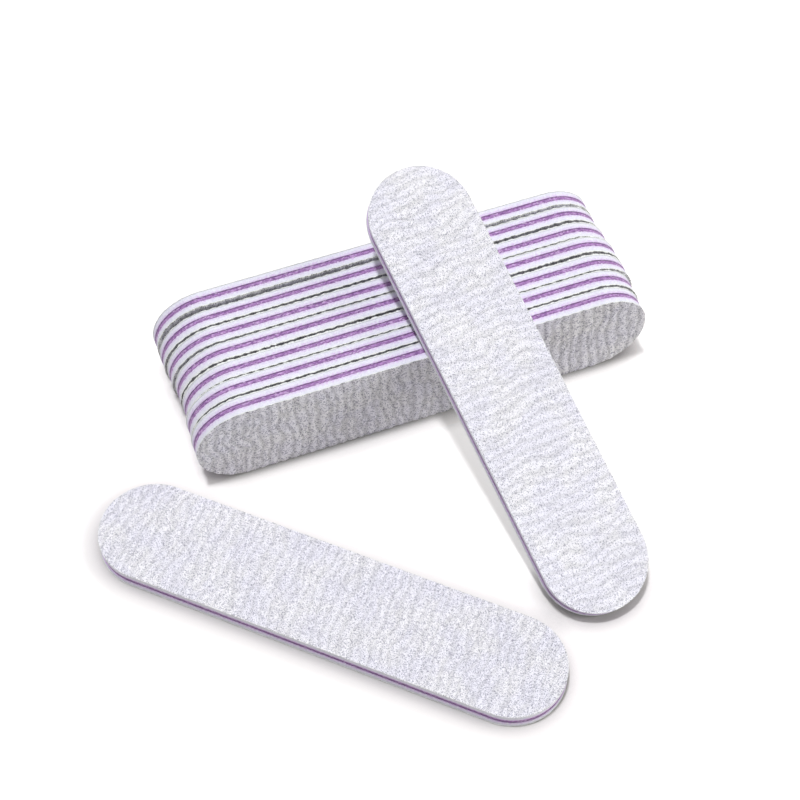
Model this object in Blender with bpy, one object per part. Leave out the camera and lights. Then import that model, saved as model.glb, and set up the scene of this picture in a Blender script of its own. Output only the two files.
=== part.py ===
"""Nine double-sided nail buffers: a row of seven on their long edges, one leaning on the row, one lying flat.

Each board is a stack of five layers with one rounded outline: grit paper, foam pad, stiff core, foam pad
and grit paper. The row runs along X with its first board in front, towards -Y. Units are metres, +Z is up.
"""

import math

import bmesh
import bpy
from mathutils import Matrix, Vector

# Driving dimensions of one board
BOARD_LENGTH = 0.090
BOARD_WIDTH = 0.020
PAPER_THICKNESS = 0.00022
FOAM_THICKNESS = 0.00110
CORE_THICKNESS = 0.00100
GLUE_LINE = 0.00004
END_SEGMENTS = 20

# Row: clear gap from each board to the next one behind it, and how far each board sits towards +X
ROW_GAPS = (0.00041, 0.00015, 0.00072, 0.00020, 0.00053, 0.00054)
ROW_STAGGERS = (-0.00021, 0.00003, 0.00049, 0.00038, -0.00001, -0.00034, -0.00035)
ROW_TURN_DEGREES = (0.0, -0.02, -0.03, 0.14, 0.01, 0.24, -0.11)

# Leaning board: its slope, its turn on the slope, and where its middle line crosses the row's front edge
LEAN_SLOPE_DEGREES = 21.67
LEAN_TURN_DEGREES = 7.42
LEAN_CROSSING = 0.00999
LEAN_SEAT_GAP = 0.0001

# Flat board: its turn on the table, its least distance to its neighbours, and how far its near end stops short
FLAT_TURN_DEGREES = -42.57
FLAT_CLEARANCE = 0.00377
FLAT_SETBACK = 0.00628

# Colours as linear red, green and blue, each with its roughness
PAPER_FINISH = ((0.775, 0.765, 0.840), 0.95)
FOAM_FINISH = ((0.855, 0.845, 0.960), 0.80)
CORE_FINISH = ((0.290, 0.125, 0.355), 0.45)

END_RADIUS = BOARD_WIDTH / 2
HALF_STRAIGHT = BOARD_LENGTH / 2 - END_RADIUS
BOARD_THICKNESS = 2 * PAPER_THICKNESS + 2 * FOAM_THICKNESS + CORE_THICKNESS + 4 * GLUE_LINE


def clear_scene():
    for obj in list(bpy.data.objects):
        bpy.data.objects.remove(obj, do_unlink=True)


def make_material(name, finish):
    colour, roughness = finish
    material = bpy.data.materials.new(name)
    material.use_nodes = True
    shader = material.node_tree.nodes["Principled BSDF"]
    shader.inputs["Base Color"].default_value = (*colour, 1)
    shader.inputs["Roughness"].default_value = roughness
    shader.inputs["Metallic"].default_value = 0
    return material


def board_outline():
    """The board's outline in its own plane: two straight edges along X, joined by two half circles."""
    points = []
    for side in (1, -1):
        for step in range(END_SEGMENTS + 1):
            angle = math.pi * (step / END_SEGMENTS - 1 / 2)
            points.append(
                Vector((
                    side * (HALF_STRAIGHT + END_RADIUS * math.cos(angle)),
                    side * END_RADIUS * math.sin(angle),
                    0,
                ))
            )
    return points


def layer_mesh(name, thickness):
    """One layer, cut to the outline and centred on its own middle plane."""
    bm = bmesh.new()
    low = [bm.verts.new(point - Vector((0, 0, thickness / 2))) for point in board_outline()]
    face = bm.faces.new(low)
    raised = bmesh.ops.extrude_face_region(bm, geom=[face])["geom"]
    top = [item for item in raised if isinstance(item, bmesh.types.BMVert)]
    bmesh.ops.translate(bm, verts=top, vec=(0, 0, thickness))
    bmesh.ops.recalc_face_normals(bm, faces=bm.faces)
    mesh = bpy.data.meshes.new(name)
    bm.to_mesh(mesh)
    bm.free()
    mesh.shade_smooth()
    mesh.set_sharp_from_angle(angle=math.radians(30))
    return mesh


def board_layers():
    """The five layers as (name, mesh, height of the middle plane), counted from the core outwards."""
    paper = layer_mesh("grit_paper", PAPER_THICKNESS)
    foam = layer_mesh("foam", FOAM_THICKNESS)
    core = layer_mesh("core", CORE_THICKNESS)
    paper.materials.append(make_material("grit_paper", PAPER_FINISH))
    foam.materials.append(make_material("white_foam", FOAM_FINISH))
    core.materials.append(make_material("purple_core", CORE_FINISH))
    foam_height = CORE_THICKNESS / 2 + GLUE_LINE + FOAM_THICKNESS / 2
    paper_height = foam_height + FOAM_THICKNESS / 2 + GLUE_LINE + PAPER_THICKNESS / 2
    return (
        ("front_grit_paper", paper, paper_height),
        ("front_foam", foam, foam_height),
        ("core", core, 0),
        ("back_foam", foam, -foam_height),
        ("back_grit_paper", paper, -paper_height),
    )


def row_placings():
    """Where the row's boards stand: each on its long edge with its front to -Y, the first one's front at Y 0."""
    placings = []
    depth = BOARD_THICKNESS / 2
    for index, (stagger, turn) in enumerate(zip(ROW_STAGGERS, ROW_TURN_DEGREES)):
        if index:
            depth += BOARD_THICKNESS + ROW_GAPS[index - 1]
        placings.append(
            Matrix.Translation((stagger, depth, BOARD_WIDTH / 2))
            @ Matrix.Rotation(math.radians(turn), 4, "Z")
            @ Matrix.Rotation(math.pi / 2, 4, "X")
        )
    return placings


def leaning_placing():
    """The leaning board lies on the row's front top edge, and the rim of its lower end just meets the table."""
    slope = math.radians(LEAN_SLOPE_DEGREES)
    turn = math.radians(LEAN_TURN_DEGREES)
    facing = Matrix.Rotation(slope, 4, "X") @ Matrix.Rotation(math.pi / 2 + turn, 4, "Z")
    along = facing.to_3x3().col[0]
    normal = facing.to_3x3().col[2]
    crossing = Vector((LEAN_CROSSING, 0, BOARD_WIDTH)) + normal * LEAN_SEAT_GAP
    rim_drop = HALF_STRAIGHT * along.z + END_RADIUS * math.sin(slope)
    slid_up = (rim_drop - crossing.z) / along.z
    middle = crossing + along * slid_up + normal * BOARD_THICKNESS / 2
    return Matrix.Translation(middle) @ facing


def flat_placing(leaning):
    """The flat board lies clear of the row's near corner and of the leaning board's foot."""
    facing = Matrix.Rotation(math.radians(FLAT_TURN_DEGREES), 4, "Z")
    along = facing.to_3x3().col[0]
    across = facing.to_3x3().col[1]
    lean_foot = leaning @ Vector((-HALF_STRAIGHT, 0, 0))
    row_corner = Vector((min(ROW_STAGGERS) - BOARD_LENGTH / 2, 0, 0))
    line = min(
        lean_foot.dot(across) - END_RADIUS,
        row_corner.dot(across),
    ) - FLAT_CLEARANCE - END_RADIUS
    near_end = lean_foot.dot(along) - FLAT_SETBACK
    middle = along * (near_end - HALF_STRAIGHT) + across * line
    middle.z = BOARD_THICKNESS / 2
    return Matrix.Translation(middle) @ facing


def box_centre(placings):
    """The middle of the set's bounding box in X and Y, at table height."""
    rim = []
    for height in (-BOARD_THICKNESS / 2, BOARD_THICKNESS / 2):
        rim += [point + Vector((0, 0, height)) for point in board_outline()]
    corners = [placing @ point for placing in placings for point in rim]
    middle = [
        (min(corner[axis] for corner in corners) + max(corner[axis] for corner in corners)) / 2
        for axis in (0, 1)
    ]
    return Vector((*middle, 0))


def build_board(name, placing, layers):
    """One board: an empty at its middle, and a named object for each layer under it."""
    holder = bpy.data.objects.new(name, None)
    holder.matrix_world = placing
    bpy.context.scene.collection.objects.link(holder)
    for layer, mesh, height in layers:
        piece = bpy.data.objects.new(f"{name}_{layer}", mesh)
        piece.parent = holder
        piece.location = (0, 0, height)
        bpy.context.scene.collection.objects.link(piece)


def build_set():
    clear_scene()
    layers = board_layers()
    leaning = leaning_placing()
    boards = {f"row_board_{index}": placing for index, placing in enumerate(row_placings(), start=1)}
    boards["leaning_board"] = leaning
    boards["flat_board"] = flat_placing(leaning)
    to_origin = Matrix.Translation(-box_centre(boards.values()))
    for name, placing in boards.items():
        build_board(name, to_origin @ placing, layers)


build_set()
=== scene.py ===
"""Looks of nine double-sided nail buffers: seven stand in a row, one leans on them, and one lies flat."""

import math

import bpy
from mathutils import Matrix, Vector


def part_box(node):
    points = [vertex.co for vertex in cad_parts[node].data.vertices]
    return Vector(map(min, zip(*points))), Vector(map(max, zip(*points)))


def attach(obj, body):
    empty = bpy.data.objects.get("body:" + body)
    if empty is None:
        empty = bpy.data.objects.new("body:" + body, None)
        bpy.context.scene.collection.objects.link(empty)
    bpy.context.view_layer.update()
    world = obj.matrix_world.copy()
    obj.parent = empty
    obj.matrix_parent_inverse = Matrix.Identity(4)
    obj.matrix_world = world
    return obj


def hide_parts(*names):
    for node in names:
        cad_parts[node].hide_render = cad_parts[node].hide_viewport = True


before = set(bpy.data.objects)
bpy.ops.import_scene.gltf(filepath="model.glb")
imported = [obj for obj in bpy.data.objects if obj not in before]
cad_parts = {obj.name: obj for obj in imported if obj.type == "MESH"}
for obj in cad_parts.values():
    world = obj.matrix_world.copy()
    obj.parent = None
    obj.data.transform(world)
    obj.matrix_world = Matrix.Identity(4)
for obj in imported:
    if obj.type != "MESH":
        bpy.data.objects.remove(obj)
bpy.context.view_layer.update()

# Abrasive papers, front and back of each board: zebra abrasive paper, pale mineral grit in a dull anti-clog
# coat on white backing paper. The coat dries into fine wavy wrinkles that run across the board, and the die
# rolls the paper's rim over as it cuts.

# Each of the nine boards is one laminate of five cut layers, so every layer is made flat in the board's own
# axes, X along its length and +Z towards its front, and then put where the frame's board stands
ROW = [f"row_board_{number}" for number in range(1, 8)]
BOARDS = ROW + ["leaning_board", "flat_board"]
RIGHTWARDS = Vector((1, 0.5, 0))


def middle(node):
    """The middle of the node's box in the frame."""
    low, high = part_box(node)
    return (low + high) / 2


def board_placing(board):
    """The board's middle and axes, read from where its layers lie in the frame."""
    front = (middle(f"{board}_front_foam") - middle(f"{board}_back_foam")).normalized()
    centre = middle(f"{board}_core")
    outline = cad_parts[f"{board}_core"].data.vertices
    tip = max((vertex.co - centre for vertex in outline), key=lambda arm: arm.length)
    along = (tip - front * tip.dot(front)).normalized()
    if along.dot(RIGHTWARDS) < 0:
        along.negate()
    axes = Matrix((along, front.cross(along), front)).transposed()
    return Matrix.Translation(centre) @ axes.to_4x4()


def layer_size(board, layer):
    """The layer's length, width and thickness, measured on the frame's node along the board's own axes."""
    turned = board_placing(board).to_3x3().transposed()
    centre = middle(f"{board}_{layer}")
    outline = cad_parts[f"{board}_{layer}"].data.vertices
    reach = [turned @ (vertex.co - centre) for vertex in outline]
    return [2 * max(point[axis] for point in reach) for axis in range(3)]


def layer_placing(board, layer):
    """Where the layer goes, with its own +Z pointing away from the core."""
    placing = board_placing(board)
    placing.translation = middle(f"{board}_{layer}")
    if layer.startswith("back"):
        placing = placing @ Matrix.Rotation(math.pi, 4, "X")
    return placing


SEAM_MERGE = 0.000001
SHARP_FROM = math.radians(50)


def add(tree, kind, inputs=None, **settings):
    """Adds a node, sets its properties, and links or sets its inputs."""
    node = tree.nodes.new(kind)
    for name, value in settings.items():
        setattr(node, name, value)
    for socket, value in (inputs or {}).items():
        if isinstance(value, bpy.types.NodeSocket):
            tree.links.new(value, node.inputs[socket])
        else:
            node.inputs[socket].default_value = value
    return node


def new_tree(name, inputs, outputs):
    """A geometry node tree with named sockets, and its input and output nodes."""
    tree = bpy.data.node_groups.new(name, "GeometryNodeTree")
    for label, kind in inputs.items():
        tree.interface.new_socket(label, in_out="INPUT", socket_type=kind)
    for label, kind in outputs.items():
        tree.interface.new_socket(label, in_out="OUTPUT", socket_type=kind)
    return tree, tree.nodes.new("NodeGroupInput").outputs, tree.nodes.new("NodeGroupOutput")


def rounded_outline_group():
    """The die's outline: turns shares of the way round and of the way out into a point of the layer."""
    lengths = {"Length": "NodeSocketFloat", "Width": "NodeSocketFloat"}
    shares = {"Around": "NodeSocketFloat", "Reach": "NodeSocketFloat"}
    tree, given, result = new_tree(
        "rounded_outline",
        lengths | shares,
        {"Point": "NodeSocketVector", "Outward": "NodeSocketVector", "Run": "NodeSocketFloat"},
    )
    radius = add(tree, "ShaderNodeMath", {0: given["Width"], 1: 0.5}, operation="MULTIPLY").outputs[0]
    straight = add(
        tree, "ShaderNodeMath", {0: given["Length"], 1: given["Width"]}, operation="SUBTRACT"
    ).outputs[0]
    half_straight = add(tree, "ShaderNodeMath", {0: straight, 1: 0.5}, operation="MULTIPLY").outputs[0]
    quarter = add(tree, "ShaderNodeMath", {0: radius, 1: math.pi / 2}, operation="MULTIPLY").outputs[0]
    half_run = add(
        tree, "ShaderNodeMath", {0: quarter, 1: 2.0, 2: straight}, operation="MULTIPLY_ADD"
    ).outputs[0]
    side = add(tree, "ShaderNodeMath", {0: given["Around"]}, operation="SIGN").outputs[0]
    share = add(tree, "ShaderNodeMath", {0: given["Around"]}, operation="ABSOLUTE").outputs[0]
    run = add(tree, "ShaderNodeMath", {0: share, 1: half_run}, operation="MULTIPLY").outputs[0]
    past_arc = add(tree, "ShaderNodeMath", {0: run, 1: quarter}, operation="SUBTRACT").outputs[0]
    along_straight = add(tree, "ShaderNodeClamp", {"Value": past_arc, "Min": 0.0, "Max": straight}).outputs[0]
    spine = add(
        tree, "ShaderNodeMath", {0: half_straight, 1: along_straight}, operation="SUBTRACT"
    ).outputs[0]
    first_arc = add(tree, "ShaderNodeMath", {0: run, 1: quarter}, operation="MINIMUM").outputs[0]
    past_straight = add(tree, "ShaderNodeMath", {0: past_arc, 1: straight}, operation="SUBTRACT").outputs[0]
    second_arc = add(tree, "ShaderNodeMath", {0: past_straight, 1: 0.0}, operation="MAXIMUM").outputs[0]
    arc = add(tree, "ShaderNodeMath", {0: first_arc, 1: second_arc}, operation="ADD").outputs[0]
    turn = add(tree, "ShaderNodeMath", {0: arc, 1: radius}, operation="DIVIDE").outputs[0]
    cosine = add(tree, "ShaderNodeMath", {0: turn}, operation="COSINE").outputs[0]
    sine = add(tree, "ShaderNodeMath", {0: turn}, operation="SINE").outputs[0]
    sideways = add(tree, "ShaderNodeMath", {0: sine, 1: side}, operation="MULTIPLY").outputs[0]
    outward = add(tree, "ShaderNodeCombineXYZ", {"X": cosine, "Y": sideways}).outputs[0]
    spine_point = add(tree, "ShaderNodeCombineXYZ", {"X": spine}).outputs[0]
    arm = add(tree, "ShaderNodeMath", {0: radius, 1: given["Reach"]}, operation="MULTIPLY").outputs[0]
    point = add(
        tree,
        "ShaderNodeVectorMath",
        {0: outward, "Scale": arm},
        operation="SCALE",
    ).outputs[0]
    point = add(tree, "ShaderNodeVectorMath", {0: spine_point, 1: point}, operation="ADD").outputs[0]
    signed_run = add(tree, "ShaderNodeMath", {0: run, 1: side}, operation="MULTIPLY").outputs[0]
    for label, value in {"Point": point, "Outward": outward, "Run": signed_run}.items():
        tree.links.new(value, result.inputs[label])
    return tree


rounded_outline = rounded_outline_group()


def outline_grid_group():
    """A grid whose rows run round the outline. Around is the share of the half run, and Row counts from 0."""
    tree, given, result = new_tree(
        "outline_grid",
        {
            "Length": "NodeSocketFloat",
            "Width": "NodeSocketFloat",
            "Cell": "NodeSocketFloat",
            "Last Row": "NodeSocketFloat",
        },
        {"Geometry": "NodeSocketGeometry", "Around": "NodeSocketFloat", "Row": "NodeSocketFloat"},
    )
    radius = add(tree, "ShaderNodeMath", {0: given["Width"], 1: 0.5}, operation="MULTIPLY").outputs[0]
    straight = add(
        tree, "ShaderNodeMath", {0: given["Length"], 1: given["Width"]}, operation="SUBTRACT"
    ).outputs[0]
    half_run = add(
        tree, "ShaderNodeMath", {0: radius, 1: math.pi, 2: straight}, operation="MULTIPLY_ADD"
    ).outputs[0]
    columns = add(tree, "ShaderNodeMath", {0: half_run, 1: given["Cell"]}, operation="DIVIDE").outputs[0]
    columns = add(tree, "ShaderNodeMath", {0: columns}, operation="ROUND").outputs[0]
    columns = add(tree, "ShaderNodeMath", {0: columns, 1: 2.0, 2: 1.0}, operation="MULTIPLY_ADD").outputs[0]
    rows = add(tree, "ShaderNodeMath", {0: given["Last Row"], 1: 1.0}, operation="ADD").outputs[0]
    grid = add(
        tree,
        "GeometryNodeMeshGrid",
        {"Size X": 2.0, "Size Y": 1.0, "Vertices X": columns, "Vertices Y": rows},
    ).outputs["Mesh"]
    place = add(tree, "ShaderNodeSeparateXYZ", {0: add(tree, "GeometryNodeInputPosition").outputs[0]}).outputs
    row = add(tree, "ShaderNodeMath", {0: place["Y"], 1: 0.5}, operation="ADD").outputs[0]
    row = add(tree, "ShaderNodeMath", {0: row, 1: given["Last Row"]}, operation="MULTIPLY").outputs[0]
    row = add(tree, "ShaderNodeMath", {0: row}, operation="ROUND").outputs[0]
    for label, value in {"Geometry": grid, "Around": place["X"], "Row": row}.items():
        tree.links.new(value, result.inputs[label])
    return tree


outline_grid = outline_grid_group()


def marked(tree, geometry, marks):
    """Stores the marks that a layer's material reads."""
    for label, (kind, value) in marks.items():
        geometry = add(
            tree,
            "GeometryNodeStoreNamedAttribute",
            {"Geometry": geometry, "Name": label, "Value": value},
            data_type=kind,
            domain="POINT",
        ).outputs[0]
    return geometry


def close_layer(tree, result, geometry, place, material, loose=None):
    """Ends a layer's tree: moves the grid into place, closes it and joins what hangs loose on it."""
    geometry = add(tree, "GeometryNodeSetPosition", {"Geometry": geometry, "Position": place}).outputs[0]
    geometry = add(
        tree, "GeometryNodeMergeByDistance", {"Geometry": geometry, "Distance": SEAM_MERGE}
    ).outputs[0]
    geometry = add(tree, "GeometryNodeSetShadeSmooth", {"Geometry": geometry}).outputs[0]
    # A grid that is wrapped round the layer starts with its faces inwards
    geometry = add(tree, "GeometryNodeFlipFaces", {"Mesh": geometry}).outputs[0]
    joined = add(tree, "GeometryNodeJoinGeometry", {0: geometry})
    if loose:
        tree.links.new(loose, joined.inputs[0])
    geometry = joined.outputs[0]
    geometry = add(tree, "GeometryNodeRealizeInstances", {"Geometry": geometry}).outputs[0]
    geometry = add(
        tree, "GeometryNodeSetMaterial", {"Geometry": geometry, "Material": material}
    ).outputs[0]
    tree.links.new(geometry, result.inputs["Geometry"])


def made_by(tree, name, settings, placing):
    """A plain mesh piece from a node tree, placed by its mesh. Settings are named as the tree's inputs."""
    source = bpy.data.objects.new(f"{name}_source", bpy.data.meshes.new(f"{name}_source"))
    bpy.context.scene.collection.objects.link(source)
    modifier = source.modifiers.new("shape", "NODES")
    modifier.node_group = tree
    sockets = {item.name: item.identifier for item in tree.interface.items_tree if item.in_out == "INPUT"}
    for label, value in settings.items():
        modifier[sockets[label]] = value
    evaluated = source.evaluated_get(bpy.context.evaluated_depsgraph_get())
    mesh = bpy.data.meshes.new_from_object(evaluated)
    bpy.data.objects.remove(source)
    mesh.name = name
    mesh.transform(placing)
    mesh.set_sharp_from_angle(angle=SHARP_FROM)
    piece = bpy.data.objects.new(name, mesh)
    bpy.context.scene.collection.objects.link(piece)
    return piece


def linear(code):
    """The linear colour of an sRGB hex code."""
    channels = [int(code[place : place + 2], 16) / 255 for place in (1, 3, 5)]
    return (*[c / 12.92 if c <= 0.04045 else ((c + 0.055) / 1.055) ** 2.4 for c in channels], 1)


def new_material(name):
    """A material with its tree and its Principled shader."""
    material = bpy.data.materials.new(name)
    material.use_nodes = True
    return material, material.node_tree, material.node_tree.nodes["Principled BSDF"]


PAPER_CELL = 0.00028
SHEET_BACK_ROWS = 2.0
HALF_ROW = 0.5
WRINKLE_SPACING = 0.0019
CROSS_SPACING = 0.0031
CROSS_FADE = (0.46, 0.60)
VALLEY_REACH = 0.0007
VALLEY_BLEND = 0.15
WRINKLE_SWAY = 0.0052
SWAY_LENGTH = 0.0075
SWAY_WIDTH = 0.0075
ROW_WRINKLE_DEPTH = 0.00017
WRINKLE_DEPTH = {"flat_board": 0.00011, "leaning_board": 0.00012}
GRAIN_DEPTH = 0.000006
PAPER_WALL_ROWS = 2
ROLL_WIDTH = 0.00045
ROLL_DEPTH = 0.00002
BURR_SPACING = 0.0003
BURR_TORN = (0.35, 0.6)
# For each gap of the row from the front: how much of it a side's burr closes at its highest, how even that
# burr is, and how far the rims roll back
GAP_BURR_SHARE = (0.38, 0.47, 0.47, 0.45, 0.42, 0.12)
GAP_BURR_FILL = (0.2, 0.75, 0.4, 0.65, 0.2, 0.0)
GAP_ROLL_DEPTH = (0.00002, 0.00002, 0.00002, 0.00002, 0.00002, 0.00014)
OUTER_CRUSHED = 0.3
FIBRE_SHARE = 0.75
FIBRE_WIDTH = 0.00016
FIBRE_MOST = 0.00032
FIBRE_LEAST_SHARE = 0.4
FIBRE_SLANT = 0.6
FIBRE_SIDES = 4
# Grains of under 0.1 mm, drawn at 0.12 mm and in the row at 0.20 mm so that they show
ROW_GRIT_SIZE = 0.00020
GRIT_SIZE = {"flat_board": 0.00012, "leaning_board": 0.00012}
ROW_BARE_GRIT = 0.46
BARE_GRIT = {"flat_board": 0.52, "leaning_board": 0.40}
SHADED_FROM = 0.00003
SHADED_FULLY = 0.00016
TINT_PATCH = 0.006
TINT_EDGE = (0.4, 0.6)
GRIT_RELIEF = 0.000025
PAPER_ROUGHNESS = 0.9
SEED_STEP = Vector((0.137, 0.071, 0.019))


def abrasive_sheet_tree():
    """A sheet cut to the outline, with a wrinkled, gritty upper face and a flat lower one."""
    tree, given, result = new_tree(
        "abrasive_sheet",
        {
            "Length": "NodeSocketFloat",
            "Width": "NodeSocketFloat",
            "Thickness": "NodeSocketFloat",
            "Cell": "NodeSocketFloat",
            "Wall Rows": "NodeSocketInt",
            "Roll Width": "NodeSocketFloat",
            "Roll Depth": "NodeSocketFloat",
            "Wrinkle Spacing": "NodeSocketFloat",
            "Cross Spacing": "NodeSocketFloat",
            "Valley Reach": "NodeSocketFloat",
            "Blend": "NodeSocketFloat",
            "Wrinkle Sway": "NodeSocketFloat",
            "Sway Length": "NodeSocketFloat",
            "Sway Width": "NodeSocketFloat",
            "Wrinkle Depth": "NodeSocketFloat",
            "Grain Depth": "NodeSocketFloat",
            "Bare Grit": "NodeSocketFloat",
            "Grit Size": "NodeSocketFloat",
            "Crushed Grit And Gap Shade": "NodeSocketFloat",
            "Fibre Share": "NodeSocketFloat",
            "Fibre Width": "NodeSocketFloat",
            "Fibre Length": "NodeSocketFloat",
            "Fibre Seed": "NodeSocketInt",
            "Burr": "NodeSocketFloat",
            "Burr Fill": "NodeSocketFloat",
            "Burr Spacing": "NodeSocketFloat",
            "Pattern Shift": "NodeSocketVector",
            "Material": "NodeSocketMaterial",
        },
        {"Geometry": "NodeSocketGeometry"},
    )
    # Rows: the face from the spine to the rim, the wall, then a ring and the spine again on the back
    radius = add(tree, "ShaderNodeMath", {0: given["Width"], 1: 0.5}, operation="MULTIPLY").outputs[0]
    face_rows = add(tree, "ShaderNodeMath", {0: radius, 1: given["Cell"]}, operation="DIVIDE").outputs[0]
    face_rows = add(tree, "ShaderNodeMath", {0: face_rows}, operation="ROUND").outputs[0]
    low_rim = add(tree, "ShaderNodeMath", {0: face_rows, 1: given["Wall Rows"]}, operation="ADD").outputs[0]
    last = add(tree, "ShaderNodeMath", {0: low_rim, 1: SHEET_BACK_ROWS}, operation="ADD").outputs[0]
    grid = add(
        tree,
        "GeometryNodeGroup",
        {"Length": given["Length"], "Width": given["Width"], "Cell": given["Cell"], "Last Row": last},
        node_tree=outline_grid,
    ).outputs
    row = grid["Row"]
    roll_share = add(
        tree, "ShaderNodeMath", {0: given["Roll Width"], 1: radius}, operation="DIVIDE"
    ).outputs[0]
    ring_share = add(tree, "ShaderNodeMath", {0: 1.0, 1: roll_share}, operation="SUBTRACT").outputs[0]
    to_last = add(tree, "ShaderNodeMath", {0: last, 1: row}, operation="SUBTRACT").outputs[0]
    back_reach = add(tree, "ShaderNodeMath", {0: to_last, 1: ring_share}, operation="MULTIPLY").outputs[0]
    face_reach = add(
        tree, "ShaderNodeMath", {0: row, 1: face_rows}, operation="DIVIDE", use_clamp=True
    ).outputs[0]
    on_back = add(
        tree, "ShaderNodeMath", {0: to_last, 1: SHEET_BACK_ROWS - HALF_ROW}, operation="LESS_THAN"
    ).outputs[0]
    reach = add(
        tree, "ShaderNodeMix", {"Factor": on_back, "A": face_reach, "B": back_reach}, data_type="FLOAT"
    ).outputs[0]
    outline = add(
        tree,
        "GeometryNodeGroup",
        {"Length": given["Length"], "Width": given["Width"], "Around": grid["Around"], "Reach": reach},
        node_tree=rounded_outline,
    ).outputs
    shifted = add(
        tree, "ShaderNodeVectorMath", {0: outline["Point"], 1: given["Pattern Shift"]}, operation="ADD"
    ).outputs[0]

    # Wrinkles: two families of wavy valleys run across the board and meet in a net of long meshes
    sway_cell = add(
        tree,
        "ShaderNodeCombineXYZ",
        {"X": given["Sway Length"], "Y": given["Sway Width"], "Z": given["Sway Width"]},
    ).outputs[0]
    in_cells = add(tree, "ShaderNodeVectorMath", {0: shifted, 1: sway_cell}, operation="DIVIDE").outputs[0]
    drift = add(
        tree,
        "ShaderNodeTexNoise",
        {"Vector": in_cells, "Scale": 1.0, "Detail": 2.0, "Roughness": 0.5},
        noise_dimensions="3D",
    ).outputs["Color"]
    drift = add(tree, "FunctionNodeSeparateColor", {"Color": drift}).outputs
    along_board = add(tree, "ShaderNodeSeparateXYZ", {0: shifted}).outputs["X"]
    depths = []
    for family, spacing in (("Red", "Wrinkle Spacing"), ("Green", "Cross Spacing")):
        swayed = add(
            tree,
            "ShaderNodeMath",
            {0: drift[family], 1: given["Wrinkle Sway"], 2: along_board},
            operation="MULTIPLY_ADD",
        ).outputs[0]
        half = add(tree, "ShaderNodeMath", {0: given[spacing], 1: 0.5}, operation="MULTIPLY").outputs[0]
        off_valley = add(tree, "ShaderNodeMath", {0: swayed, 1: half}, operation="PINGPONG").outputs[0]
        depths.append(
            add(
                tree,
                "ShaderNodeMath",
                {0: off_valley, 1: given["Valley Reach"]},
                operation="DIVIDE",
                use_clamp=True,
            ).outputs[0]
        )
    # The second family comes and goes, so that its valleys end inside the meshes of the first
    faded = add(
        tree,
        "ShaderNodeMapRange",
        {"Value": drift["Blue"], "From Min": CROSS_FADE[0], "From Max": CROSS_FADE[1]},
    ).outputs[0]
    second = add(tree, "ShaderNodeMath", {0: depths[1], 1: faded}, operation="ADD", use_clamp=True).outputs[0]
    ridge = add(
        tree, "ShaderNodeMath", {0: depths[0], 1: second, 2: given["Blend"]}, operation="SMOOTH_MIN"
    ).outputs[0]
    grain = add(tree, "ShaderNodeTexWhiteNoise", {"Vector": shifted}, noise_dimensions="3D").outputs["Value"]

    # The face sinks from its peaks into the wrinkles and between the grains, and never stands proud
    valley = add(tree, "ShaderNodeMath", {0: 1.0, 1: ridge}, operation="SUBTRACT").outputs[0]
    fold = add(
        tree, "ShaderNodeMath", {0: valley, 1: given["Wrinkle Depth"]}, operation="MULTIPLY"
    ).outputs[0]
    drop = add(
        tree, "ShaderNodeMath", {0: grain, 1: given["Grain Depth"], 2: fold}, operation="MULTIPLY_ADD"
    ).outputs[0]
    past_face = add(tree, "ShaderNodeMath", {0: row, 1: face_rows}, operation="SUBTRACT").outputs[0]
    on_face = add(tree, "ShaderNodeMath", {0: past_face, 1: HALF_ROW}, operation="LESS_THAN").outputs[0]
    drop = add(tree, "ShaderNodeMath", {0: drop, 1: on_face}, operation="MULTIPLY").outputs[0]
    # The rim rolls over, all through the sheet's thickness
    inside = add(tree, "ShaderNodeMath", {0: 1.0, 1: reach}, operation="SUBTRACT").outputs[0]
    inside = add(
        tree, "ShaderNodeMath", {0: inside, 1: roll_share}, operation="DIVIDE", use_clamp=True
    ).outputs[0]
    rim = add(tree, "ShaderNodeMath", {0: 1.0, 1: inside}, operation="SUBTRACT").outputs[0]
    rolled = add(tree, "ShaderNodeMath", {0: rim, 1: 2.0}, operation="POWER").outputs[0]
    drop = add(
        tree, "ShaderNodeMath", {0: rolled, 1: given["Roll Depth"], 2: drop}, operation="MULTIPLY_ADD"
    ).outputs[0]
    # The blade leaves an uneven burr on the arris, which stands a little proud of the face
    per_burr = add(tree, "ShaderNodeMath", {0: 1.0, 1: given["Burr Spacing"]}, operation="DIVIDE").outputs[0]
    torn = add(
        tree,
        "ShaderNodeTexNoise",
        {"Vector": shifted, "Scale": per_burr, "Detail": 2.0, "Roughness": 0.6},
        noise_dimensions="3D",
    ).outputs[0]
    torn = add(
        tree,
        "ShaderNodeMapRange",
        {
            "Value": torn,
            "From Min": BURR_TORN[0],
            "From Max": BURR_TORN[1],
            "To Min": given["Burr Fill"],
        },
    ).outputs[0]
    off_arris = add(tree, "ShaderNodeMath", {0: past_face}, operation="ABSOLUTE").outputs[0]
    on_arris = add(tree, "ShaderNodeMath", {0: off_arris, 1: HALF_ROW}, operation="LESS_THAN").outputs[0]
    torn = add(tree, "ShaderNodeMath", {0: torn, 1: on_arris}, operation="MULTIPLY").outputs[0]
    burr = add(tree, "ShaderNodeMath", {0: torn, 1: given["Burr"]}, operation="MULTIPLY").outputs[0]
    drop = add(tree, "ShaderNodeMath", {0: drop, 1: burr}, operation="SUBTRACT").outputs[0]
    down = add(
        tree, "ShaderNodeMath", {0: past_face, 1: given["Wall Rows"]}, operation="DIVIDE", use_clamp=True
    ).outputs[0]
    level = add(tree, "ShaderNodeMath", {0: 0.5, 1: down}, operation="SUBTRACT").outputs[0]
    level = add(tree, "ShaderNodeMath", {0: level, 1: given["Thickness"]}, operation="MULTIPLY").outputs[0]
    level = add(tree, "ShaderNodeMath", {0: level, 1: drop}, operation="SUBTRACT").outputs[0]
    lift = add(tree, "ShaderNodeCombineXYZ", {"Z": level}).outputs[0]
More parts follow.
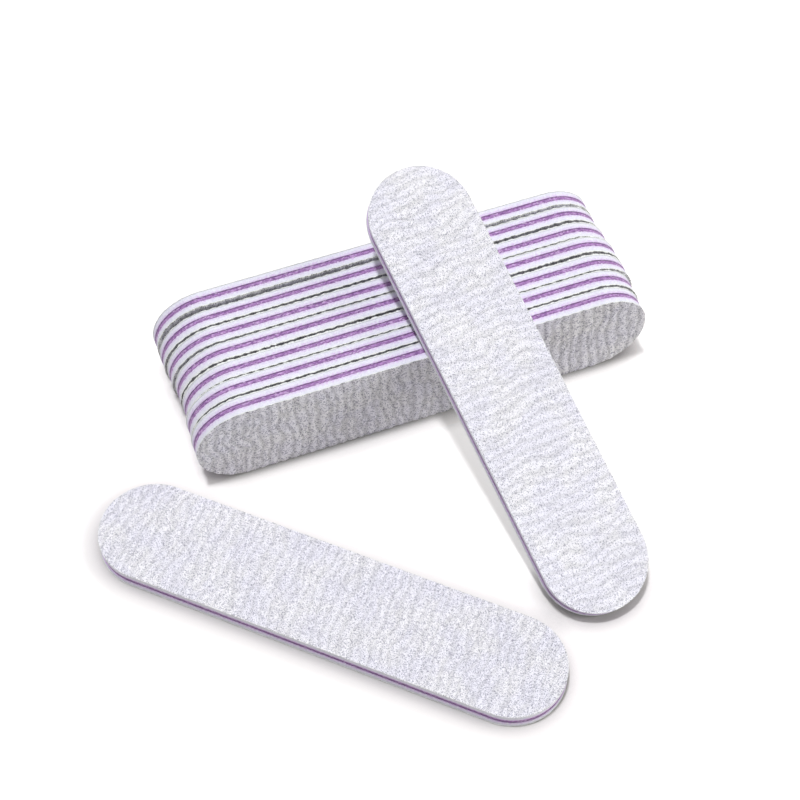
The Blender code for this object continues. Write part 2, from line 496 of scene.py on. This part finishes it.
    place = add(tree, "ShaderNodeVectorMath", {0: outline["Point"], 1: lift}, operation="ADD").outputs[0]
    on_wall = add(tree, "ShaderNodeMath", {0: past_face, 1: HALF_ROW}, operation="GREATER_THAN").outputs[0]
    # The arris mark: crushed grit, and on sides that face a gap painted shade of the gap as well
    crushed_grit_and_gap_shade = add(tree, "ShaderNodeMath", {0: on_arris, 1: given["Crushed Grit And Gap Shade"]}, operation="MULTIPLY").outputs[0]
    sheet = marked(
        tree,
        grid["Geometry"],
        {
            "board_place": ("FLOAT_VECTOR", shifted),
            "fold_depth": ("FLOAT", fold),
            "bare_grit": ("FLOAT", given["Bare Grit"]),
            "grit_size": ("FLOAT", given["Grit Size"]),
            "arris": ("FLOAT", crushed_grit_and_gap_shade),
            "cut_wall": ("FLOAT", on_wall),
        },
    )

    # Fibres torn from the backing paper stand out of the arris, each at its own slant
    has_fibre = add(
        tree,
        "FunctionNodeRandomValue",
        {"Probability": given["Fibre Share"], "Seed": given["Fibre Seed"]},
        data_type="BOOLEAN",
    ).outputs[3]
    has_fibre = add(tree, "FunctionNodeBooleanMath", {0: has_fibre, 1: on_arris}, operation="AND").outputs[0]
    roots = add(
        tree, "GeometryNodeMeshToPoints", {"Mesh": sheet, "Selection": has_fibre, "Position": place}
    ).outputs[0]
    spike = add(
        tree,
        "GeometryNodeMeshCone",
        {"Vertices": FIBRE_SIDES, "Radius Top": 0.0, "Radius Bottom": 0.5, "Depth": 1.0},
    ).outputs["Mesh"]
    slant = add(
        tree,
        "FunctionNodeRandomValue",
        {
            0: (-FIBRE_SLANT, -FIBRE_SLANT, 0.0),
            1: (FIBRE_SLANT, FIBRE_SLANT, math.pi),
            "Seed": given["Fibre Seed"],
        },
        data_type="FLOAT_VECTOR",
    ).outputs[0]
    fibre_length = add(
        tree,
        "FunctionNodeRandomValue",
        {2: FIBRE_LEAST_SHARE, 3: 1.0, "Seed": given["Fibre Seed"]},
        data_type="FLOAT",
    ).outputs[1]
    fibre_length = add(
        tree, "ShaderNodeMath", {0: fibre_length, 1: given["Fibre Length"]}, operation="MULTIPLY"
    ).outputs[0]
    fibre_size = add(
        tree,
        "ShaderNodeCombineXYZ",
        {"X": given["Fibre Width"], "Y": given["Fibre Width"], "Z": fibre_length},
    ).outputs[0]
    fibres = add(
        tree,
        "GeometryNodeInstanceOnPoints",
        {"Points": roots, "Instance": spike, "Rotation": slant, "Scale": fibre_size},
    ).outputs[0]
    close_layer(tree, result, sheet, place, given["Material"], loose=fibres)
    return tree


def abrasive_paper_material():
    """Pale dull grit: each grain is its own shade, and painted shade makes the wrinkles between them a little
    darker.
    """
    material, tree, shader = new_material("zebra_abrasive_paper")
    place = add(tree, "ShaderNodeAttribute", attribute_name="board_place").outputs["Vector"]
    fold = add(tree, "ShaderNodeAttribute", attribute_name="fold_depth").outputs["Fac"]
    arris = add(tree, "ShaderNodeAttribute", attribute_name="arris").outputs["Fac"]
    cut_wall = add(tree, "ShaderNodeAttribute", attribute_name="cut_wall").outputs["Fac"]
    grit_size = add(tree, "ShaderNodeAttribute", attribute_name="grit_size").outputs["Fac"]
    per_grain = add(tree, "ShaderNodeMath", {0: 1.0, 1: grit_size}, operation="DIVIDE").outputs[0]
    grains = add(
        tree, "ShaderNodeTexVoronoi", {"Vector": place, "Scale": per_grain}, voronoi_dimensions="3D"
    ).outputs
    shade = add(tree, "ShaderNodeSeparateColor", {"Color": grains["Color"]}).outputs["Red"]
    bare_grit = add(tree, "ShaderNodeAttribute", attribute_name="bare_grit").outputs["Fac"]
    shade = add(tree, "ShaderNodeMapRange", {"Value": shade, "From Max": bare_grit}).outputs[0]
    grit = add(
        tree,
        "ShaderNodeMix",
        {"Factor": shade, 6: linear("#9B99A8"), 7: linear("#FFFFFF")},
        data_type="RGBA",
    ).outputs[2]
    # Painted shade: the deeper a wrinkle's valley, the darker the paper's colour there
    fold_shade_share = add(
        tree, "ShaderNodeMapRange", {"Value": fold, "From Min": SHADED_FROM, "From Max": SHADED_FULLY}
    ).outputs[0]
    painted_fold_shade = add(
        tree,
        "ShaderNodeMix",
        {"Factor": fold_shade_share, 6: linear("#FFFFFF"), 7: linear("#E0E0DF")},
        data_type="RGBA",
    ).outputs[2]
    colour = add(
        tree, "ShaderNodeMix", {"Factor": 1.0, 6: grit, 7: painted_fold_shade}, data_type="RGBA", blend_type="MULTIPLY"
    ).outputs[2]
    # The coat is a little more lavender in some patches than in others
    patches = add(
        tree,
        "ShaderNodeTexNoise",
        {"Vector": place, "Scale": 1 / TINT_PATCH, "Detail": 2.0},
        noise_dimensions="3D",
    ).outputs[0]
    patches = add(
        tree, "ShaderNodeMapRange", {"Value": patches, "From Min": TINT_EDGE[0], "From Max": TINT_EDGE[1]}
    ).outputs[0]
    tint = add(
        tree,
        "ShaderNodeMix",
        {"Factor": patches, 6: linear("#FCFBFE"), 7: linear("#F8F7FF")},
        data_type="RGBA",
    ).outputs[2]
    colour = add(
        tree, "ShaderNodeMix", {"Factor": 1.0, 6: colour, 7: tint}, data_type="RGBA", blend_type="MULTIPLY"
    ).outputs[2]
    # Along the arris the blade has crushed some grains to olive dust; on sides that face a gap of the row
    # this olive speckle goes on in full as painted shade of the gap, and the cut wall is bare backing paper
    crushed_grit_and_gap_shade = add(
        tree,
        "ShaderNodeMix",
        {"Factor": shade, 6: linear("#77765F"), 7: linear("#F3F5EE")},
        data_type="RGBA",
    ).outputs[2]
    colour = add(
        tree, "ShaderNodeMix", {"Factor": arris, 6: colour, 7: crushed_grit_and_gap_shade}, data_type="RGBA"
    ).outputs[2]
    colour = add(
        tree, "ShaderNodeMix", {"Factor": cut_wall, 6: colour, 7: linear("#F1F4F1")}, data_type="RGBA"
    ).outputs[2]
    tree.links.new(colour, shader.inputs["Base Color"])
    relief = add(
        tree, "ShaderNodeBump", {"Height": shade, "Strength": 1.0, "Distance": GRIT_RELIEF}
    ).outputs[0]
    tree.links.new(relief, shader.inputs["Normal"])
    shader.inputs["Roughness"].default_value = PAPER_ROUGHNESS
    return material


def gap_faced(board, side):
    """The gap of the row that a board's side faces, counted from the front, or nothing if it faces none."""
    number = BOARDS.index(board) - (side == "front")
    return number if board in ROW and 0 <= number < len(GAP_BURR_SHARE) else None


def gap_size(number):
    """The least distance between the two papers that face each other across a gap."""
    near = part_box(f"{ROW[number]}_back_grit_paper")[1].y
    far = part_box(f"{ROW[number + 1]}_front_grit_paper")[0].y
    return far - near


def roll_depth(board, side):
    """How far the rims on a board's side roll back, by the gap that the side faces."""
    faced = gap_faced(board, side)
    return ROLL_DEPTH if faced is None else GAP_ROLL_DEPTH[faced]


abrasive_sheet = abrasive_sheet_tree()
abrasive_paper = abrasive_paper_material()
for number, board in enumerate(BOARDS):
    for side_number, side in enumerate(("front", "back")):
        length, width, thickness = layer_size(board, f"{side}_grit_paper")
        faced = gap_faced(board, side)
        gap = 0.0 if faced is None else gap_size(faced)
        burr_share = 0.0 if faced is None else GAP_BURR_SHARE[faced]
        # A side's burr and fibres together reach at most half way across the gap
        fibre_reach = (0.5 - burr_share) * gap
        piece = made_by(
            abrasive_sheet,
            f"{board}_{side}_abrasive",
            {
                "Length": length,
                "Width": width,
                "Thickness": thickness,
                "Cell": PAPER_CELL,
                "Wall Rows": PAPER_WALL_ROWS,
                "Roll Width": ROLL_WIDTH,
                "Roll Depth": roll_depth(board, side),
                "Wrinkle Spacing": WRINKLE_SPACING,
                "Cross Spacing": CROSS_SPACING,
                "Valley Reach": VALLEY_REACH,
                "Blend": VALLEY_BLEND,
                "Wrinkle Sway": WRINKLE_SWAY,
                "Sway Length": SWAY_LENGTH,
                "Sway Width": SWAY_WIDTH,
                "Bare Grit": BARE_GRIT.get(board, ROW_BARE_GRIT),
                "Grit Size": GRIT_SIZE.get(board, ROW_GRIT_SIZE),
                "Fibre Share": FIBRE_SHARE if gap else 0.0,
                "Fibre Width": FIBRE_WIDTH,
                "Fibre Length": min(fibre_reach, FIBRE_MOST),
                "Fibre Seed": 2 * number + side_number,
                "Wrinkle Depth": WRINKLE_DEPTH.get(board, ROW_WRINKLE_DEPTH),
                "Grain Depth": GRAIN_DEPTH,
                "Burr": burr_share * gap,
                "Burr Fill": 0.0 if faced is None else GAP_BURR_FILL[faced],
                # On sides that face a gap the olive arris speckle goes on in full, as painted shade of the
                # gap
                "Crushed Grit And Gap Shade": OUTER_CRUSHED if faced is None else 1.0,
                "Burr Spacing": BURR_SPACING,
                "Pattern Shift": SEED_STEP * (2 * number + side_number + 1),
                "Material": abrasive_paper,
            },
            layer_placing(board, f"{side}_grit_paper"),
        )
        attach(piece, board)
        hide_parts(f"{board}_{side}_grit_paper")


# Foam layers, either side of the core: closed-cell white foam sheet, die-cut with the board. The blade drags
# its lower lip a little over the core's edge, so that the border between white and purple is ragged.

EDGE_CELL = 0.00016
LAYER_FACE_ROWS = 2.0
FOAM_WALL_ROWS = 6
FOAM_BULGE = 0.00004
FOAM_FUZZ = 0.00003
FUZZ_SPACING = 0.0004
FOAM_LIP = 0.00014
LIP_SPACING = 0.0003
LIP_TORN = (0.42, 0.72)
LIP_FROM = 0.999
# Cells of 0.1 mm, drawn at 0.2 mm so that they show
FOAM_CELL = 0.0002
PIT_DEPTH = 0.00004
SMEAR_SIZE = 0.0005
SMEAR_RANGE = (0.24, 0.6)
SMEAR_MOST = 0.8
FOAM_ROUGHNESS = 0.85
FOAM_SEEDS = 31


def die_cut_layer_tree():
    """A layer with flat faces and a rough die-cut wall, whose lower lip hangs down in places."""
    tree, given, result = new_tree(
        "die_cut_layer",
        {
            "Length": "NodeSocketFloat",
            "Width": "NodeSocketFloat",
            "Thickness": "NodeSocketFloat",
            "Cell": "NodeSocketFloat",
            "Wall Rows": "NodeSocketInt",
            "Roll Width": "NodeSocketFloat",
            "Roll Depth": "NodeSocketFloat",
            "Inset": "NodeSocketFloat",
            "Bulge": "NodeSocketFloat",
            "Fuzz": "NodeSocketFloat",
            "Fuzz Spacing": "NodeSocketFloat",
            "Lip": "NodeSocketFloat",
            "Lip Spacing": "NodeSocketFloat",
            "Pattern Shift": "NodeSocketVector",
            "Material": "NodeSocketMaterial",
        },
        {"Geometry": "NodeSocketGeometry"},
    )
    # Rows: the upper face's spine and ring, the wall from rim to rim, the lower face's ring and spine
    radius = add(tree, "ShaderNodeMath", {0: given["Width"], 1: 0.5}, operation="MULTIPLY").outputs[0]
    last = add(
        tree, "ShaderNodeMath", {0: given["Wall Rows"], 1: 2 * LAYER_FACE_ROWS}, operation="ADD"
    ).outputs[0]
    grid = add(
        tree,
        "GeometryNodeGroup",
        {"Length": given["Length"], "Width": given["Width"], "Cell": given["Cell"], "Last Row": last},
        node_tree=outline_grid,
    ).outputs
    row = grid["Row"]
    from_ends = add(tree, "ShaderNodeMath", {0: last, 1: row}, operation="SUBTRACT").outputs[0]
    from_ends = add(tree, "ShaderNodeMath", {0: row, 1: from_ends}, operation="MINIMUM").outputs[0]
    past_spine = add(
        tree, "ShaderNodeMath", {0: from_ends, 1: HALF_ROW}, operation="GREATER_THAN"
    ).outputs[0]
    on_wall = add(
        tree, "ShaderNodeMath", {0: from_ends, 1: LAYER_FACE_ROWS - HALF_ROW}, operation="GREATER_THAN"
    ).outputs[0]
    outline = add(
        tree,
        "GeometryNodeGroup",
        {"Length": given["Length"], "Width": given["Width"], "Around": grid["Around"], "Reach": past_spine},
        node_tree=rounded_outline,
    ).outputs
    down = add(tree, "ShaderNodeMath", {0: row, 1: LAYER_FACE_ROWS}, operation="SUBTRACT").outputs[0]
    down = add(
        tree, "ShaderNodeMath", {0: down, 1: given["Wall Rows"]}, operation="DIVIDE", use_clamp=True
    ).outputs[0]
    up = add(tree, "ShaderNodeMath", {0: 1.0, 1: down}, operation="SUBTRACT").outputs[0]
    level = add(tree, "ShaderNodeMath", {0: up, 1: 0.5}, operation="SUBTRACT").outputs[0]
    level = add(tree, "ShaderNodeMath", {0: level, 1: given["Thickness"]}, operation="MULTIPLY").outputs[0]
    roll = add(tree, "ShaderNodeMath", {0: up, 1: on_wall}, operation="MULTIPLY").outputs[0]
    roll = add(tree, "ShaderNodeMath", {0: roll, 1: given["Roll Depth"]}, operation="MULTIPLY").outputs[0]
    level = add(tree, "ShaderNodeMath", {0: level, 1: roll}, operation="SUBTRACT").outputs[0]
    edge_place = add(tree, "ShaderNodeCombineXYZ", {"X": outline["Run"], "Z": level}).outputs[0]
    edge_place = add(
        tree, "ShaderNodeVectorMath", {0: edge_place, 1: given["Pattern Shift"]}, operation="ADD"
    ).outputs[0]
    lift = add(tree, "ShaderNodeCombineXYZ", {"Z": level}).outputs[0]
    place = add(tree, "ShaderNodeVectorMath", {0: outline["Point"], 1: lift}, operation="ADD").outputs[0]
    shifted = add(
        tree, "ShaderNodeVectorMath", {0: place, 1: given["Pattern Shift"]}, operation="ADD"
    ).outputs[0]

    # Wall: drawn in at its rims, with a rough cut that never stands proud of the die's outline
    off_middle = add(tree, "ShaderNodeMath", {0: down, 1: 2.0, 2: -1.0}, operation="MULTIPLY_ADD").outputs[0]
    off_middle = add(tree, "ShaderNodeMath", {0: off_middle, 1: 2.0}, operation="POWER").outputs[0]
    inward = add(
        tree,
        "ShaderNodeMath",
        {0: off_middle, 1: given["Bulge"], 2: given["Inset"]},
        operation="MULTIPLY_ADD",
    ).outputs[0]
    per_fuzz = add(tree, "ShaderNodeMath", {0: 1.0, 1: given["Fuzz Spacing"]}, operation="DIVIDE").outputs[0]
    rough = add(
        tree,
        "ShaderNodeTexNoise",
        {"Vector": shifted, "Scale": per_fuzz, "Detail": 2.0, "Roughness": 0.6},
        noise_dimensions="3D",
    ).outputs[0]
    inward = add(
        tree, "ShaderNodeMath", {0: rough, 1: given["Fuzz"], 2: inward}, operation="MULTIPLY_ADD"
    ).outputs[0]
    # Rings: level, and set in by the roll's width, so that only the lip itself hangs
    inward = add(
        tree, "ShaderNodeMix", {"Factor": on_wall, "A": given["Roll Width"], "B": inward}, data_type="FLOAT"
    ).outputs[0]
    inward = add(tree, "ShaderNodeMath", {0: inward, 1: past_spine}, operation="MULTIPLY").outputs[0]
    outward = add(tree, "ShaderNodeMath", {0: inward, 1: -1.0}, operation="MULTIPLY").outputs[0]
    pull = add(
        tree, "ShaderNodeVectorMath", {0: outline["Outward"], "Scale": outward}, operation="SCALE"
    ).outputs[0]
    per_lip = add(tree, "ShaderNodeMath", {0: 1.0, 1: given["Lip Spacing"]}, operation="DIVIDE").outputs[0]
    lip_noise = add(
        tree,
        "ShaderNodeTexNoise",
        {"Vector": shifted, "Scale": per_lip, "Detail": 3.0, "Roughness": 0.7},
        noise_dimensions="3D",
    ).outputs[0]
    hanging = add(
        tree, "ShaderNodeMapRange", {"Value": lip_noise, "From Min": LIP_TORN[0], "From Max": LIP_TORN[1]}
    ).outputs[0]
    at_lip = add(tree, "ShaderNodeMath", {0: down, 1: LIP_FROM}, operation="GREATER_THAN").outputs[0]
    at_lip = add(tree, "ShaderNodeMath", {0: at_lip, 1: on_wall}, operation="MULTIPLY").outputs[0]
    hanging = add(tree, "ShaderNodeMath", {0: hanging, 1: at_lip}, operation="MULTIPLY").outputs[0]
    hanging = add(tree, "ShaderNodeMath", {0: hanging, 1: given["Lip"]}, operation="MULTIPLY").outputs[0]
    sag = add(tree, "ShaderNodeMath", {0: hanging, 1: -1.0}, operation="MULTIPLY").outputs[0]
    sag = add(tree, "ShaderNodeCombineXYZ", {"Z": sag}).outputs[0]
    place = add(tree, "ShaderNodeVectorMath", {0: place, 1: pull}, operation="ADD").outputs[0]
    place = add(tree, "ShaderNodeVectorMath", {0: place, 1: sag}, operation="ADD").outputs[0]
    layer = marked(
        tree,
        grid["Geometry"],
        {"edge_place": ("FLOAT_VECTOR", edge_place), "edge_depth": ("FLOAT", down)},
    )
    close_layer(tree, result, layer, place, given["Material"])
    return tree


def foam_material():
    """White closed-cell foam: soft and matt, finely pitted, with a little purple smeared on near the core."""
    material, tree, shader = new_material("die_cut_white_foam")
    place = add(tree, "ShaderNodeAttribute", attribute_name="edge_place").outputs["Vector"]
    depth = add(tree, "ShaderNodeAttribute", attribute_name="edge_depth").outputs["Fac"]
    cells = add(
        tree, "ShaderNodeTexVoronoi", {"Vector": place, "Scale": 1 / FOAM_CELL}, voronoi_dimensions="3D"
    ).outputs
    shade = add(tree, "ShaderNodeSeparateColor", {"Color": cells["Color"]}).outputs["Red"]
    foam = add(
        tree,
        "ShaderNodeMix",
        {"Factor": shade, 6: linear("#E2E1EF"), 7: linear("#F3F2FA")},
        data_type="RGBA",
    ).outputs[2]
    smear = add(
        tree,
        "ShaderNodeTexNoise",
        {"Vector": place, "Scale": 1 / SMEAR_SIZE, "Detail": 3.0},
        noise_dimensions="3D",
    ).outputs[0]
    smear = add(tree, "ShaderNodeMath", {0: smear, 1: depth}, operation="MULTIPLY").outputs[0]
    smear = add(
        tree,
        "ShaderNodeMapRange",
        {"Value": smear, "From Min": SMEAR_RANGE[0], "From Max": SMEAR_RANGE[1], "To Max": SMEAR_MOST},
    ).outputs[0]
    foam = add(
        tree, "ShaderNodeMix", {"Factor": smear, 6: foam, 7: linear("#D9B4E8")}, data_type="RGBA"
    ).outputs[2]
    tree.links.new(foam, shader.inputs["Base Color"])
    relief = add(
        tree, "ShaderNodeBump", {"Height": cells["Distance"], "Strength": 0.5, "Distance": PIT_DEPTH}
    ).outputs[0]
    tree.links.new(relief, shader.inputs["Normal"])
    shader.inputs["Roughness"].default_value = FOAM_ROUGHNESS
    return material


die_cut_layer = die_cut_layer_tree()
white_foam = foam_material()
for number, board in enumerate(BOARDS):
    for side_number, side in enumerate(("front", "back")):
        length, width, thickness = layer_size(board, f"{side}_foam")
        piece = made_by(
            die_cut_layer,
            f"{board}_{side}_foam_layer",
            {
                "Length": length,
                "Width": width,
                "Thickness": thickness,
                "Cell": EDGE_CELL,
                "Wall Rows": FOAM_WALL_ROWS,
                "Roll Width": ROLL_WIDTH,
                "Roll Depth": roll_depth(board, side),
                "Inset": 0.0,
                "Bulge": FOAM_BULGE,
                "Fuzz": FOAM_FUZZ,
                "Fuzz Spacing": FUZZ_SPACING,
                "Lip": FOAM_LIP,
                "Lip Spacing": LIP_SPACING,
                "Pattern Shift": SEED_STEP * (2 * number + side_number + FOAM_SEEDS),
                "Material": white_foam,
            },
            layer_placing(board, f"{side}_foam"),
        )
        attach(piece, board)
        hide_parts(f"{board}_{side}_foam")


# Cores: purple polystyrene sheet, the stiff middle of each board, die-cut with the rest. Its cut edge lies a
# little inside the foam's, and is streaked along its length with pale stress marks and darker scuffs; next to
# the foam it is darkened in dots by painted shade.

CORE_INSET = 0.00016
CORE_WALL_ROWS = 4
CORE_BULGE = 0.00001
CORE_FUZZ = 0.00004
CORE_FUZZ_SPACING = 0.0003
STREAK_SQUEEZE = (0.45, 1.0, 1.0)
STREAK_WIDTH = 0.0003
STREAK_DEPTH = 0.00004
STREAK_RANGE = (0.35, 0.65)
BORDER_SHADE_RANGE = (0.95, 1.45)
BORDER_SHADE_MOST = 0.9
SPECK_SIZE = 0.0002
SPECK_RANGE = (0.80, 0.95)
SPECK_MOST = 0.6
CORE_ROUGHNESS = 0.5
CORE_SEEDS = 61


def core_material():
    """Purple polystyrene: half dull, streaked where stressed pale or scuffed dark, with painted shade by the
    foam.
    """
    material, tree, shader = new_material("die_cut_purple_polystyrene")
    place = add(tree, "ShaderNodeAttribute", attribute_name="edge_place").outputs["Vector"]
    stretched = add(
        tree, "ShaderNodeVectorMath", {0: place, 1: STREAK_SQUEEZE}, operation="MULTIPLY"
    ).outputs[0]
    streaks = add(
        tree,
        "ShaderNodeTexNoise",
        {"Vector": stretched, "Scale": 1 / STREAK_WIDTH, "Detail": 3.0, "Roughness": 0.7},
        noise_dimensions="3D",
    ).outputs[0]
    spread = add(
        tree,
        "ShaderNodeMapRange",
        {"Value": streaks, "From Min": STREAK_RANGE[0], "From Max": STREAK_RANGE[1]},
    ).outputs[0]
    purple = add(
        tree,
        "ShaderNodeMix",
        {"Factor": spread, 6: linear("#6E4280"), 7: linear("#C294CF")},
        data_type="RGBA",
    ).outputs[2]
    # Next to the foam, where the cut lies back under it, painted shade darkens the cut in dots
    depth = add(tree, "ShaderNodeAttribute", attribute_name="edge_depth").outputs["Fac"]
    off_middle = add(tree, "ShaderNodeMath", {0: depth, 1: 2.0, 2: -1.0}, operation="MULTIPLY_ADD").outputs[0]
    off_middle = add(tree, "ShaderNodeMath", {0: off_middle}, operation="ABSOLUTE").outputs[0]
    off_middle = add(tree, "ShaderNodeMath", {0: off_middle, 1: streaks}, operation="ADD").outputs[0]
    painted_border_shade = add(
        tree,
        "ShaderNodeMapRange",
        {
            "Value": off_middle,
            "From Min": BORDER_SHADE_RANGE[0],
            "From Max": BORDER_SHADE_RANGE[1],
            "To Max": BORDER_SHADE_MOST,
        },
    ).outputs[0]
    purple = add(
        tree, "ShaderNodeMix", {"Factor": painted_border_shade, 6: purple, 7: linear("#543361")}, data_type="RGBA"
    ).outputs[2]
    specks = add(
        tree, "ShaderNodeTexVoronoi", {"Vector": stretched, "Scale": 1 / SPECK_SIZE}, voronoi_dimensions="3D"
    ).outputs
    pale = add(tree, "ShaderNodeSeparateColor", {"Color": specks["Color"]}).outputs["Red"]
    pale = add(
        tree,
        "ShaderNodeMapRange",
        {"Value": pale, "From Min": SPECK_RANGE[0], "From Max": SPECK_RANGE[1], "To Max": SPECK_MOST},
    ).outputs[0]
    purple = add(
        tree, "ShaderNodeMix", {"Factor": pale, 6: purple, 7: linear("#E3C9EA")}, data_type="RGBA"
    ).outputs[2]
    tree.links.new(purple, shader.inputs["Base Color"])
    relief = add(
        tree, "ShaderNodeBump", {"Height": streaks, "Strength": 0.6, "Distance": STREAK_DEPTH}
    ).outputs[0]
    tree.links.new(relief, shader.inputs["Normal"])
    shader.inputs["Roughness"].default_value = CORE_ROUGHNESS
    return material


purple_core = core_material()
for number, board in enumerate(BOARDS):
    length, width, thickness = layer_size(board, "core")
    piece = made_by(
        die_cut_layer,
        f"{board}_core_sheet",
        {
            "Length": length,
            "Width": width,
            "Thickness": thickness,
            "Cell": EDGE_CELL,
            "Wall Rows": CORE_WALL_ROWS,
            "Roll Width": ROLL_WIDTH,
            "Roll Depth": 0.0,
            "Inset": CORE_INSET,
            "Bulge": CORE_BULGE,
            "Fuzz": CORE_FUZZ,
            "Fuzz Spacing": CORE_FUZZ_SPACING,
            "Lip": 0.0,
            "Lip Spacing": LIP_SPACING,
            "Pattern Shift": SEED_STEP * (number + CORE_SEEDS),
            "Material": purple_core,
        },
        layer_placing(board, "core"),
    )
    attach(piece, board)
    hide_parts(f"{board}_core")


# Floor: a plain matt white table top, on which the boards lie loose. It is white to the eye away from them,
# and keeps their soft shadows; close to them a painted contact shadow greys it.

FLOOR_HALF = 1.5
FLOOR_DROP = 0.00002
FOOT_REACH = 0.005
FOOT_OPEN = (0.5, 0.75)
WASH_POWER = 4.0
WASH_STRENGTH = 0.44
FOOT_SAMPLES = 8


def seen_directly(tree):
    """1 for a ray from the eye, or one that a gloss or glass turned, and 0 for any other."""
    path = add(tree, "ShaderNodeLightPath").outputs
    either = add(
        tree, "ShaderNodeMath", {0: path["Is Camera Ray"], 1: path["Is Glossy Ray"]}, operation="MAXIMUM"
    ).outputs[0]
    return add(
        tree, "ShaderNodeMath", {0: either, 1: path["Is Transmission Ray"]}, operation="MAXIMUM"
    ).outputs[0]


floor_mesh = bpy.data.meshes.new("floor")
floor_mesh.from_pydata(
    [(x * FLOOR_HALF, y * FLOOR_HALF, -FLOOR_DROP) for x, y in ((-1, -1), (1, -1), (1, 1), (-1, 1))],
    [],
    [(0, 1, 2, 3)],
)
floor = bpy.data.objects.new("floor", floor_mesh)
bpy.context.scene.collection.objects.link(floor)
floor_paint, floor_tree, floor_shader = new_material("matt_white_table")
floor_shader.inputs["Roughness"].default_value = 1.0
floor_shader.inputs["Emission Color"].default_value = linear("#FFFFFF")
# Close to a board a painted contact shadow greys the table's colour and fades the wash that whitens it, so
# its foot stays dark
open_share = add(
    floor_tree, "ShaderNodeAmbientOcclusion", {"Distance": FOOT_REACH}, samples=FOOT_SAMPLES
).outputs["AO"]
clear = add(
    floor_tree,
    "ShaderNodeMapRange",
    {"Value": open_share, "From Min": FOOT_OPEN[0], "From Max": FOOT_OPEN[1]},
).outputs[0]
painted_shadow_table = add(
    floor_tree,
    "ShaderNodeMix",
    {"Factor": clear, 6: linear("#BAB8B6"), 7: linear("#E0DDDA")},
    data_type="RGBA",
).outputs[2]
floor_tree.links.new(painted_shadow_table, floor_shader.inputs["Base Color"])
open_share = add(floor_tree, "ShaderNodeMath", {0: open_share, 1: WASH_POWER}, operation="POWER").outputs[0]
wash = add(floor_tree, "ShaderNodeMath", {0: open_share, 1: WASH_STRENGTH}, operation="MULTIPLY").outputs[0]
seen = seen_directly(floor_tree)
glow = add(floor_tree, "ShaderNodeMath", {0: seen, 1: wash}, operation="MULTIPLY").outputs[0]
floor_tree.links.new(glow, floor_shader.inputs["Emission Strength"])
floor_mesh.materials.append(floor_paint)

# Light: a soft lamp nearly overhead, a little to the left of the set, a weaker and broader one low at the
# right, which the leaning board keeps off part of the row, and an even pale sky.

LAMP_STRENGTH = 2.09
LAMP_SPREAD = math.radians(5.5)
LAMP_TILT = math.radians(6.5)
LAMP_AZIMUTH = math.radians(70)
LAMP_COLOUR = (0.98, 0.985, 1.03)
FILL_STRENGTH = 1.14
FILL_SPREAD = math.radians(45)
FILL_TILT = math.radians(68)
FILL_AZIMUTH = math.radians(-115)
FILL_COLOUR = (1.02, 1.02, 0.96)
SKY_STRENGTH = 0.26

for name, strength, spread, tilt, azimuth, colour in (
    ("soft_overhead", LAMP_STRENGTH, LAMP_SPREAD, LAMP_TILT, LAMP_AZIMUTH, LAMP_COLOUR),
    ("broad_fill", FILL_STRENGTH, FILL_SPREAD, FILL_TILT, FILL_AZIMUTH, FILL_COLOUR),
):
    lamp_data = bpy.data.lights.new(name, "SUN")
    lamp_data.energy = strength
    lamp_data.angle = spread
    lamp_data.color = colour
    lamp = bpy.data.objects.new(name, lamp_data)
    lamp.matrix_world = Matrix.Rotation(azimuth, 4, "Z") @ Matrix.Rotation(-tilt, 4, "X")
    bpy.context.scene.collection.objects.link(lamp)

world = bpy.data.worlds.new("pale_sky")
bpy.context.scene.world = world
world.use_nodes = True
sky = world.node_tree.nodes["Background"]
sky.inputs["Color"].default_value = linear("#FFFFFF")
shown = seen_directly(world.node_tree)
strength = add(
    world.node_tree, "ShaderNodeMapRange", {"Value": shown, "To Min": SKY_STRENGTH, "To Max": 1.0}
).outputs[0]
world.node_tree.links.new(strength, sky.inputs["Strength"])

# Camera: the photograph's own view, from above and a little to the left. It was found by fitting a pinhole
# camera to the edges of all nine boards.

CAMERA_TARGET = Vector((0.0070452, 0.0220618, 0.0))
CAMERA_AZIMUTH = math.radians(-20.11)
CAMERA_ELEVATION = math.radians(56.452)
CAMERA_DISTANCE = 0.35075
CAMERA_LENS = 81.33
SENSOR_WIDTH = 36
CLIP_START = 0.01

camera_data = bpy.data.cameras.new("camera")
camera_data.lens = CAMERA_LENS
camera_data.sensor_width = SENSOR_WIDTH
camera_data.clip_start = CLIP_START
camera = bpy.data.objects.new("camera", camera_data)
back = Vector(
    (
        math.sin(CAMERA_AZIMUTH) * math.cos(CAMERA_ELEVATION),
        -math.cos(CAMERA_AZIMUTH) * math.cos(CAMERA_ELEVATION),
        math.sin(CAMERA_ELEVATION),
    )
)
camera.location = CAMERA_TARGET + back * CAMERA_DISTANCE
camera.rotation_mode = "QUATERNION"
camera.rotation_quaternion = (-back).to_track_quat("-Z", "Y")
bpy.context.scene.collection.objects.link(camera)
bpy.context.scene.camera = camera
bpy.context.scene.view_settings.view_transform = "Standard"
